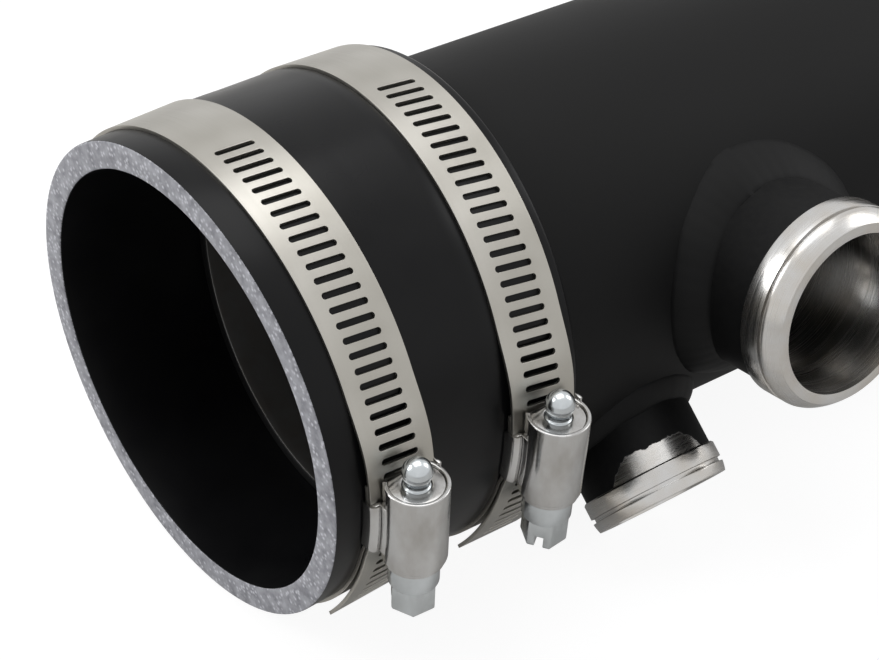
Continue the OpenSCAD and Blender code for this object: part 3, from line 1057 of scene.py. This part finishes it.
def screwPiece(name, clocking):
    ball = screw["ball"]
    centre = screw["tip"] + ball
    half = clamp["half"]
    steps = [(screw["axis"], screw["tip"])]
    for degrees in range(8, 131, 6):
        angle = math.radians(degrees)
        steps.append((ball * math.sin(angle), centre - ball * math.cos(angle)))
    steps += [(screw["neck"], -half + screw["neckTo"]),
              (screw["tipJournal"], -half + screw["tipJournalFrom"]),
              (screw["tipJournal"], -half + screw["tipJournalTo"]),
              (screw["worm"], -half + screw["wormFrom"]),
              (screw["worm"], half - screw["wormTo"]),
              (screw["headJournal"], half - screw["headJournalFrom"]),
              (screw["headJournal"], screw["collarFrom"]),
              (screw["collar"], screw["collarFrom"]),
              (screw["collar"], screw["headFrom"]),
              (screw["axis"], screw["headFrom"])]
    shank = turned("shank", steps)
    bevel(shank, screw["shankEdge"], 3, 60)
    objectMode()
    bpy.ops.object.select_all(action="DESELECT")
    length = screw["headTo"] - screw["headFrom"]
    bpy.ops.mesh.primitive_cylinder_add(vertices=6, radius=screw["flats"] / math.sqrt(3), depth=length,
                                        location=(0, 0, screw["headFrom"] + length / 2))
    head = bpy.context.object
    bpy.ops.object.transform_apply(location=True)
    pickEdges(head, lambda a, b: a.z > screw["headTo"] - 0.01 * mm and b.z > screw["headTo"] - 0.01 * mm)
    bpy.ops.mesh.bevel(offset=screw["chamfer"], segments=2, affect="EDGES")
    objectMode()
    bpy.ops.object.select_all(action="DESELECT")
    bpy.ops.mesh.primitive_cube_add(size=1, scale=(12 * mm, screw["slotWidth"], 2 * screw["slotDepth"]),
                                    location=(0, 0, screw["headTo"]))
    slot = bpy.context.object
    bpy.ops.object.transform_apply(location=True, scale=True)
    cutAway(head, slot)
    bevel(head, screw["edge"], 2, 25)
    place(head, Matrix.Rotation(clocking, 4, "Z"))
    return ontoScrewLine(joined(name, shank, head))


def clampParts(end, matrix, body, clocking):
    sheetMetal = platedSteel(end + "Plate", matrix, plateLook)
    screwMetal = platedSteel(end + "Zinc", matrix, zincLook)
    for obj, name, pieceBody, slotName, metal, node in (
            (saddle(), "Saddle", "pipe_assembly", "housing_steel", sheetMetal, "_clamp_saddle"),
            (housing(), "Housing", "pipe_assembly", "housing_steel", sheetMetal, "_clamp_housing"),
            (screwPiece("screw", clocking), "Screw", body, "screw_steel", screwMetal, "_clamp_screw")):
        obj.name = end + name
        smooth(obj, 35)
        place(obj, matrix)
        finished(obj, pieceBody, slotName, metal, end + node)


clampParts("front", atFrontClamp, "front_screw", math.radians(36.5))
clampParts("rear", atRearClamp, "rear_screw", math.radians(-37))
print("clamps made")


# Camera, floor and light
view = {
    "position": (367.0 * mm, 256.07 * mm, 248.41 * mm),
    "turn": (math.radians(51.427), math.radians(-0.941), math.radians(143.552)),
    "lens": 92.188,
}


studio = {
    "shadowed": (0.18, 0.18, 0.18, 1),      # the floor as the camera sees it, with its glow
    "glow": 0.92,
    "inMetal": (0.7, 0.68, 0.65, 1),        # and as it shows in the metals
    "inMetalGlow": 0.15,
    "plainFloor": (0.8, 0.8, 0.8, 1),
    "sky": (0.75, 0.77, 0.8, 1),
    "skyStrength": 0.42,
}
white = (1, 1, 1, 1)


def camera():
    data = bpy.data.cameras.new("camera")
    data.lens = view["lens"]
    data.sensor_width = 36
    data.sensor_fit = "HORIZONTAL"
    data.clip_start = 0.01
    obj = bpy.data.objects.new("camera", data)
    obj.location = view["position"]
    obj.rotation_euler = view["turn"]
    bpy.context.collection.objects.link(obj)
    bpy.context.scene.camera = obj


def floor():
    objectMode()
    bpy.ops.object.select_all(action="DESELECT")
    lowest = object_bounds()[0][2]
    bpy.ops.mesh.primitive_plane_add(size=6, location=(0, 0, lowest))
    obj = bpy.context.object
    obj.name = "floor"
    material, tree, shader = newMaterial("paleFloor")
    tree.nodes.remove(shader)
    output = tree.nodes["Material Output"]
    path = addNode(tree, "ShaderNodeLightPath")
    plain = addNode(tree, "ShaderNodeBsdfDiffuse", {"Color": studio["plainFloor"]})
    faint = addNode(tree, "ShaderNodeBsdfDiffuse", {"Color": studio["shadowed"]})
    glow = addNode(tree, "ShaderNodeEmission", {"Color": white, "Strength": studio["glow"]})
    seen = addNode(tree, "ShaderNodeAddShader", {0: faint.outputs[0], 1: glow.outputs[0]})
    half = addNode(tree, "ShaderNodeBsdfDiffuse", {"Color": studio["inMetal"]})
    dim = addNode(tree, "ShaderNodeEmission", {"Color": white, "Strength": studio["inMetalGlow"]})
    mirrored = addNode(tree, "ShaderNodeAddShader", {0: half.outputs[0], 1: dim.outputs[0]})
    inMetal = addNode(tree, "ShaderNodeMixShader", {
        0: path.outputs["Is Glossy Ray"], 1: plain.outputs[0], 2: mirrored.outputs[0]})
    mix = addNode(tree, "ShaderNodeMixShader", {
        0: path.outputs["Is Camera Ray"], 1: inMetal.outputs[0], 2: seen.outputs[0]})
    tree.links.new(mix.outputs[0], output.inputs["Surface"])
    obj.data.materials.append(material)
    obj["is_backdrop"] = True


def world():
    scene = bpy.context.scene
    scene.view_settings.view_transform = "Standard"
    sky = bpy.data.worlds.new("studio")
    scene.world = sky
    sky.use_nodes = True
    tree = sky.node_tree
    background = tree.nodes["Background"]
    output = tree.nodes["World Output"]
    background.inputs["Color"].default_value = studio["sky"]
    background.inputs["Strength"].default_value = studio["skyStrength"]
    backdrop = addNode(tree, "ShaderNodeBackground", {"Color": white, "Strength": 1.0})
    path = addNode(tree, "ShaderNodeLightPath")
    seen = addNode(tree, "ShaderNodeMath", {
        0: path.outputs["Is Camera Ray"], 1: path.outputs["Is Glossy Ray"]}, operation="MAXIMUM")
    mix = addNode(tree, "ShaderNodeMixShader", {
        0: seen.outputs[0], 1: background.outputs[0], 2: backdrop.outputs[0]})
    tree.links.new(mix.outputs[0], output.inputs["Surface"])


def softbox(name, position, size, power):
    data = bpy.data.lights.new(name, "AREA")
    data.shape = "RECTANGLE"
    data.size, data.size_y = size
    data.energy = power
    obj = bpy.data.objects.new(name, data)
    obj.location = position
    direction = Vector((0.15, 0, 0)) - Vector(position)
    obj.rotation_euler = direction.to_track_quat("-Z", "Y").to_euler()
    bpy.context.collection.objects.link(obj)


camera()
world()
softbox("topLight", (0.1, -0.2, 1.2), (1.0, 0.8), 5)
softbox("leftLight", (1.1, -0.65, 0.75), (0.5, 0.6), 8)
softbox("backLight", (-0.9, 0.3, 0.7), (0.5, 0.7), 2.5)
floor()
print("camera and light set")
